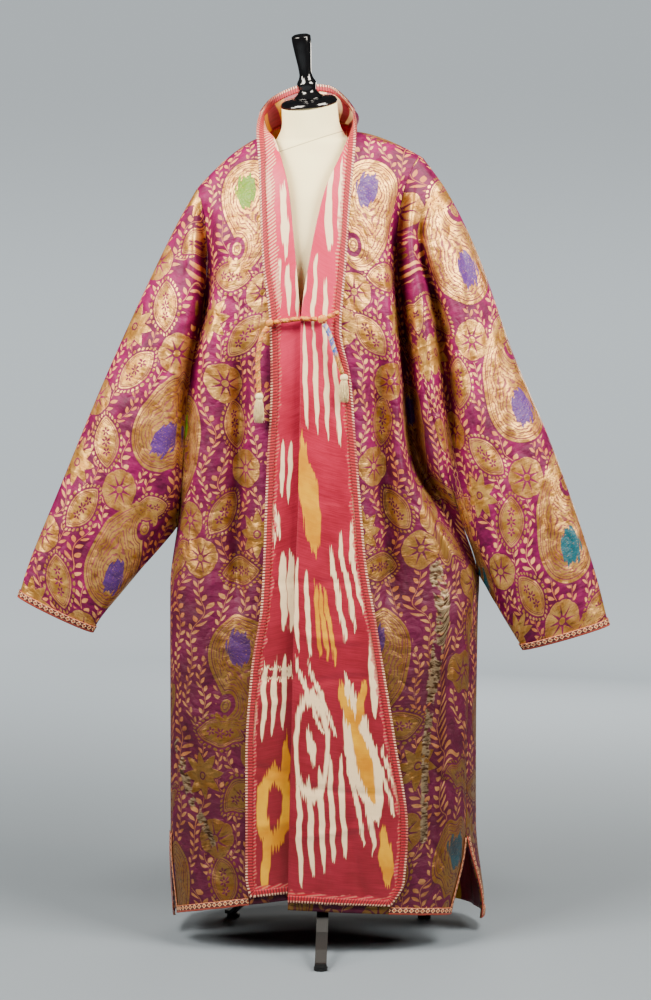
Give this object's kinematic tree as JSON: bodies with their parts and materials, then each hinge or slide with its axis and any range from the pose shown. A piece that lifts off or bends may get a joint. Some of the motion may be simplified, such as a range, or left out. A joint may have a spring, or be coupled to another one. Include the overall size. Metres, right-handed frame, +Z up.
{
  "type": "chapan robe on a dress form stand",
  "caption": "Long wide-sleeved open robe with turned-back patterned lining, stand collar, braided edges and a cord tie, worn on a limbless dress form with a finial and tripod stand.",
  "frame": {"origin": "centre of the bounding box on the floor that the stand's feet rest on", "axes": "+Z up; the robe's open front faces -Y; the wearer's right side is at -X"},
  "size_m": [1.043, 0.4272, 1.5835],
  "materials": {
    "brocade": "silk and metal-thread brocade, low sheen",
    "ikat_lining": "warp-dyed silk, satin",
    "braid": "narrow woven braid, matt",
    "silk_cord": "twisted silk cord, satin",
    "tassel": "loose silk thread, matt",
    "jersey": "cream cotton jersey, matt",
    "black_wood": "black gloss lacquer",
    "black_metal": "black satin paint"
  },
  "bodies": {
    "root": {"back_panel": "brocade", "front_right": "brocade", "front_left": "brocade", "gore_right": "brocade", "gore_left": "brocade", "sleeve_right": "brocade", "sleeve_left": "brocade", "revers_right": "ikat_lining", "revers_left": "ikat_lining", "collar": "brocade", "braid_front_right": "braid", "braid_front_left": "braid", "braid_revers_right": "braid", "braid_revers_left": "braid", "braid_gore_right": "braid", "braid_gore_left": "braid", "braid_cuff_right": "braid", "braid_cuff_left": "braid", "braid_collar": "braid", "braid_back": "braid", "tie_band": "silk_cord", "tie_loop": "silk_cord", "tie_tail_right": "silk_cord", "tie_tail_left": "silk_cord", "tie_knot_right": "silk_cord", "tie_knot_left": "silk_cord", "tassel_right": "tassel", "tassel_left": "tassel", "form_torso": "jersey", "pole": "black_metal", "hub": "black_metal", "leg_front": "black_metal", "leg_right": "black_metal", "leg_left": "black_metal", "foot_front": "black_metal", "foot_right": "black_metal", "foot_left": "black_metal", "neck_cap": "black_wood", "finial": "black_wood"}
  },
  "joints": []
}
